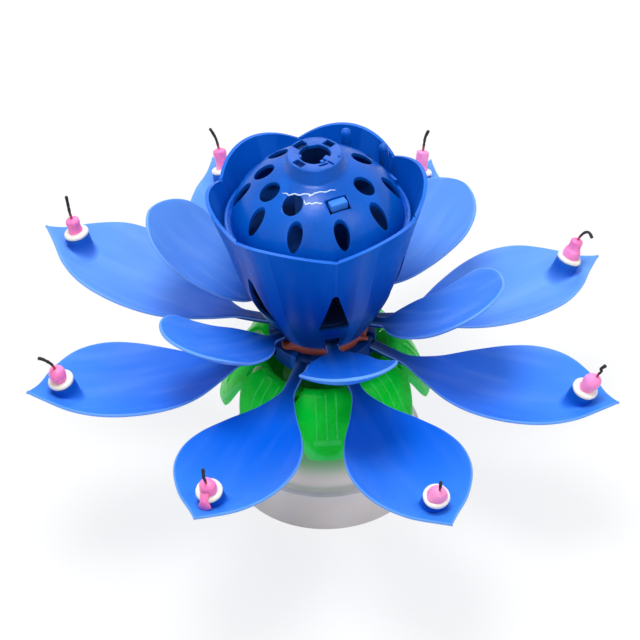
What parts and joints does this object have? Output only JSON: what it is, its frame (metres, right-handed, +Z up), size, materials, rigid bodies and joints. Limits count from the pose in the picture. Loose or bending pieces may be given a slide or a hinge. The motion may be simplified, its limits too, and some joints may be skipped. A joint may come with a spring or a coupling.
{
  "type": "musical birthday candle",
  "caption": "Plastic lotus flower candle that opens its petals, turns on its foot and plays a tune.",
  "frame": {"origin": "centre of the foot's underside", "axes": "+Z up along the turning axis, -Y towards the picture's camera"},
  "size_m": [0.2069, 0.2076, 0.1449],
  "materials": {
    "foot_frosted": "frosted white moulded plastic",
    "flower_blue": "glossy moulded blue plastic",
    "calyx_green": "glossy moulded green plastic",
    "shaft_black": "black moulded plastic",
    "inner_black": "dark moulded plastic",
    "gear_white": "natural white gear plastic",
    "steel": "zinc plated steel",
    "cell_steel": "nickel plated can",
    "contact_brass": "plain brass sheet",
    "board_green": "glass-filled laminate with solder mask",
    "band_rubber": "red-brown rubber",
    "seat_white": "white moulded plastic with spilt wax",
    "wax_pink": "pink paraffin wax with a burnt wick"
  },
  "bodies": {
    "foot": {"foot_shell": "foot_frosted", "foot_plate": "foot_frosted", "foot_screws": "steel", "calyx": "calyx_green", "drive_shaft": "shaft_black", "sun_gear": "gear_white", "shaft_screws": "steel"},
    "flower": {"petal_hub": "flower_blue", "hub_retainer": "flower_blue", "hub_screws": "steel", "rubber_band": "band_rubber", "cup": "flower_blue", "gear_arbor": "steel", "mechanism_plate": "inner_black", "plate_screws": "steel", "motor": "steel", "battery_holder": "inner_black", "button_cells": "cell_steel", "battery_contacts": "contact_brass", "music_board": "board_green", "melody_chip": "inner_black", "sound_disc": "contact_brass", "start_contacts": "contact_brass", "mechanism_cover": "flower_blue", "seed_pod": "flower_blue", "fountain_socket": "flower_blue"},
    "compound_gear_body": {"compound_gear": "gear_white"},
    "motor_rotor": {"motor_pinion": "gear_white"},
    "plunger_body": {"switch_plunger": "gear_white"},
    "outer_1": {"outer_petal_1": "flower_blue", "candle_seat_1": "seat_white", "candle_1": "wax_pink"},
    "outer_2": {"outer_petal_2": "flower_blue", "candle_seat_2": "seat_white", "candle_2": "wax_pink"},
    "outer_3": {"outer_petal_3": "flower_blue", "candle_seat_3": "seat_white", "candle_3": "wax_pink"},
    "outer_4": {"outer_petal_4": "flower_blue", "candle_seat_4": "seat_white", "candle_4": "wax_pink"},
    "outer_5": {"outer_petal_5": "flower_blue", "candle_seat_5": "seat_white", "candle_5": "wax_pink"},
    "outer_6": {"outer_petal_6": "flower_blue", "candle_seat_6": "seat_white", "candle_6": "wax_pink"},
    "outer_7": {"outer_petal_7": "flower_blue", "candle_seat_7": "seat_white", "candle_7": "wax_pink"},
    "outer_8": {"outer_petal_8": "flower_blue", "candle_seat_8": "seat_white", "candle_8": "wax_pink"},
    "middle_1": {"middle_petal_1": "flower_blue"},
    "middle_2": {"middle_petal_2": "flower_blue"},
    "middle_3": {"middle_petal_3": "flower_blue"},
    "middle_4": {"middle_petal_4": "flower_blue"},
    "middle_5": {"middle_petal_5": "flower_blue"},
    "middle_6": {"middle_petal_6": "flower_blue"}
  },
  "joints": [
    {"name": "flower_spin", "type": "hinge", "parent": "foot", "child": "flower", "pos_m": [0, 0, 0.0675], "axis": [0, 0, 1], "continuous": true},
    {"name": "compound_gear_spin", "type": "hinge", "parent": "flower", "child": "compound_gear_body", "pos_m": [0.0063, -0.01091, 0.079], "axis": [0, 0, 1], "continuous": true},
    {"name": "motor_spin", "type": "hinge", "parent": "flower", "child": "motor_rotor", "pos_m": [0.01213, -0.00341, 0.083], "axis": [0, 0, 1], "continuous": true},
    {"name": "outer_hinge_1", "type": "hinge", "parent": "flower", "child": "outer_1", "pos_m": [-0.007, -0.01571, 0.065], "axis": [-0.9135, 0.4067, 0], "range_deg": [0, 58.5]},
    {"name": "outer_hinge_2", "type": "hinge", "parent": "flower", "child": "outer_2", "pos_m": [0.00616, -0.01606, 0.065], "axis": [-0.9336, -0.3584, 0], "range_deg": [0, 56.5]},
    {"name": "outer_hinge_3", "type": "hinge", "parent": "flower", "child": "outer_3", "pos_m": [0.01571, -0.007, 0.065], "axis": [-0.4067, -0.9135, 0], "range_deg": [0, 63.7]},
    {"name": "outer_hinge_4", "type": "hinge", "parent": "flower", "child": "outer_4", "pos_m": [0.01606, 0.00616, 0.065], "axis": [0.3584, -0.9336, 0], "range_deg": [0, 61]},
    {"name": "outer_hinge_5", "type": "hinge", "parent": "flower", "child": "outer_5", "pos_m": [0.007, 0.01571, 0.065], "axis": [0.9135, -0.4067, 0], "range_deg": [0, 66]},
    {"name": "outer_hinge_6", "type": "hinge", "parent": "flower", "child": "outer_6", "pos_m": [-0.00616, 0.01606, 0.065], "axis": [0.9336, 0.3584, 0], "range_deg": [0, 58]},
    {"name": "outer_hinge_7", "type": "hinge", "parent": "flower", "child": "outer_7", "pos_m": [-0.01571, 0.007, 0.065], "axis": [0.4067, 0.9135, 0], "range_deg": [0, 53]},
    {"name": "outer_hinge_8", "type": "hinge", "parent": "flower", "child": "outer_8", "pos_m": [-0.01606, -0.00616, 0.065], "axis": [-0.3584, 0.9336, 0], "range_deg": [0, 51]},
    {"name": "middle_hinge_1", "type": "hinge", "parent": "flower", "child": "middle_1", "pos_m": [0.00249, -0.0157, 0.0738], "axis": [-0.9877, -0.1564, 0], "range_deg": [0, 30]},
    {"name": "middle_hinge_2", "type": "hinge", "parent": "flower", "child": "middle_2", "pos_m": [0.01484, -0.0057, 0.0738], "axis": [-0.3584, -0.9336, 0], "range_deg": [0, 30]},
    {"name": "middle_hinge_3", "type": "hinge", "parent": "flower", "child": "middle_3", "pos_m": [0.01236, 0.01001, 0.0738], "axis": [0.6293, -0.7771, 0], "range_deg": [0, 36]},
    {"name": "middle_hinge_4", "type": "hinge", "parent": "flower", "child": "middle_4", "pos_m": [-0.00249, 0.0157, 0.0738], "axis": [0.9877, 0.1564, 0], "range_deg": [0, 30]},
    {"name": "middle_hinge_5", "type": "hinge", "parent": "flower", "child": "middle_5", "pos_m": [-0.01484, 0.0057, 0.0738], "axis": [0.3584, 0.9336, 0], "range_deg": [0, 24.5]},
    {"name": "middle_hinge_6", "type": "hinge", "parent": "flower", "child": "middle_6", "pos_m": [-0.01236, -0.01001, 0.0738], "axis": [-0.6293, 0.7771, 0], "range_deg": [0, 30.5]},
    {"name": "plunger_slide", "type": "slide", "parent": "flower", "child": "plunger_body", "axis": [-0.1564, 0.9877, 0], "range_m": [-0.0014, 0]}
  ],
  "couplings": [
    {"joint": "compound_gear_spin", "follows": "flower_spin", "ratio": 2},
    {"joint": "motor_spin", "follows": "flower_spin", "ratio": -5.6},
    {"joint": "outer_hinge_2", "follows": "outer_hinge_1", "ratio": 0.96581},
    {"joint": "outer_hinge_3", "follows": "outer_hinge_1", "ratio": 1.0889},
    {"joint": "outer_hinge_4", "follows": "outer_hinge_1", "ratio": 1.0427},
    {"joint": "outer_hinge_5", "follows": "outer_hinge_1", "ratio": 1.1282},
    {"joint": "outer_hinge_6", "follows": "outer_hinge_1", "ratio": 0.99145},
    {"joint": "outer_hinge_7", "follows": "outer_hinge_1", "ratio": 0.90598},
    {"joint": "outer_hinge_8", "follows": "outer_hinge_1", "ratio": 0.87179},
    {"joint": "middle_hinge_1", "follows": "outer_hinge_1", "ratio": 0.51282},
    {"joint": "middle_hinge_2", "follows": "outer_hinge_1", "ratio": 0.51282},
    {"joint": "middle_hinge_3", "follows": "outer_hinge_1", "ratio": 0.61538},
    {"joint": "middle_hinge_4", "follows": "outer_hinge_1", "ratio": 0.51282},
    {"joint": "middle_hinge_5", "follows": "outer_hinge_1", "ratio": 0.4188},
    {"joint": "middle_hinge_6", "follows": "outer_hinge_1", "ratio": 0.52137},
    {"joint": "plunger_slide", "follows": "outer_hinge_1", "m_per_rad": -0.0013712}
  ]
}
